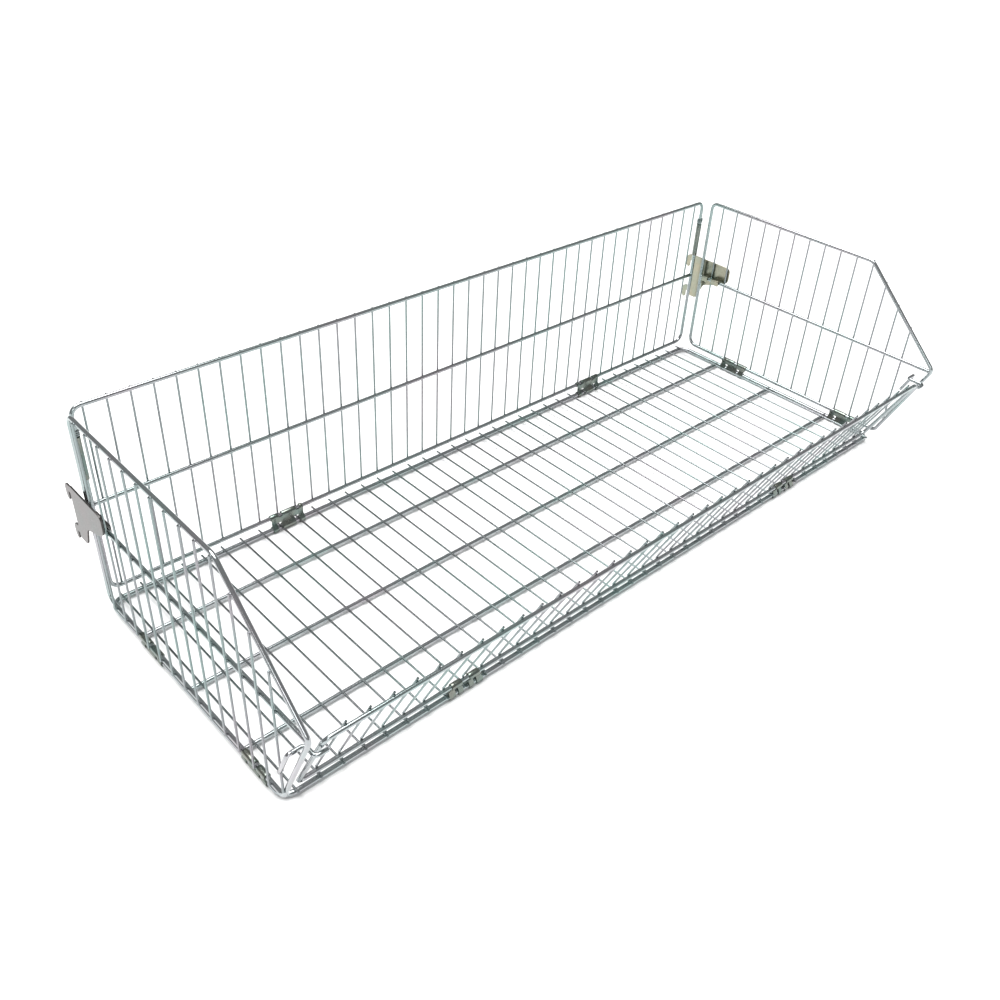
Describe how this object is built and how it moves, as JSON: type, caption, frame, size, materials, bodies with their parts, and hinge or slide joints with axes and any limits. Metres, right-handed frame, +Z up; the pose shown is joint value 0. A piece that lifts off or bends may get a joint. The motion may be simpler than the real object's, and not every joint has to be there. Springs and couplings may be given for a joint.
{
  "type": "wire mesh container",
  "caption": "Folding open-topped wire mesh shelf basket: base tray, hinged back, two cut-away side panels and a low leaning front lip, with clips and shelf brackets.",
  "frame": {"origin": "middle of the footprint on the floor, under the whole basket as it stands open", "axes": "+X along the basket's length to its right side, +Y to the back panel, +Z up; the lip leans out towards -Y"},
  "size_m": [1, 0.4256, 0.2488],
  "materials": {
    "bright_zinc_wire": "bright zinc-plated drawn wire, semi-gloss",
    "zinc_mesh_wire": "bright zinc-plated thin wire, semi-gloss",
    "zinc_clip_sheet": "zinc-passivated folded sheet, satin, faintly yellow",
    "zinc_bracket_sheet": "zinc-passivated stamped sheet, satin"
  },
  "bodies": {
    "base": {"base_frame": "bright_zinc_wire", "base_rail_rear": "bright_zinc_wire", "base_rail_front": "bright_zinc_wire", "base_mesh": "zinc_mesh_wire", "hinge_clip_back_right": "zinc_clip_sheet", "hinge_clip_back_left": "zinc_clip_sheet", "hinge_clip_lip_right": "zinc_clip_sheet", "hinge_clip_lip_left": "zinc_clip_sheet", "hinge_clip_right_rear": "zinc_clip_sheet", "hinge_clip_left_rear": "zinc_clip_sheet", "hinge_clip_right_front": "zinc_clip_sheet", "hinge_clip_left_front": "zinc_clip_sheet"},
    "back": {"back_frame": "bright_zinc_wire", "back_mesh": "zinc_mesh_wire", "corner_catch_right": "zinc_clip_sheet", "corner_catch_left": "zinc_clip_sheet"},
    "side_right": {"side_frame_right": "bright_zinc_wire", "side_mesh_right": "zinc_mesh_wire", "shelf_bracket_right": "zinc_bracket_sheet", "lip_stop_right": "bright_zinc_wire"},
    "side_left": {"side_frame_left": "bright_zinc_wire", "side_mesh_left": "zinc_mesh_wire", "shelf_bracket_left": "zinc_bracket_sheet", "lip_stop_left": "bright_zinc_wire"},
    "lip": {"lip_panel": "bright_zinc_wire"}
  },
  "joints": [
    {"name": "back_fold", "type": "hinge", "parent": "base", "child": "back", "pos_m": [0, 0.19057, 0.019], "axis": [1, 0, 0], "range_deg": [0, 90]},
    {"name": "side_right_fold", "type": "hinge", "parent": "base", "child": "side_right", "pos_m": [0.49, 0.01677, 0.0165], "axis": [0, 1, 0], "range_deg": [0, 90]},
    {"name": "side_left_fold", "type": "hinge", "parent": "base", "child": "side_left", "pos_m": [-0.49, 0.01677, 0.0165], "axis": [0, -1, 0], "range_deg": [0, 90]},
    {"name": "lip_fold", "type": "hinge", "parent": "base", "child": "lip", "pos_m": [0, -0.15323, 0.0152], "axis": [-1, 0, 0], "range_deg": [0, 117]}
  ]
}
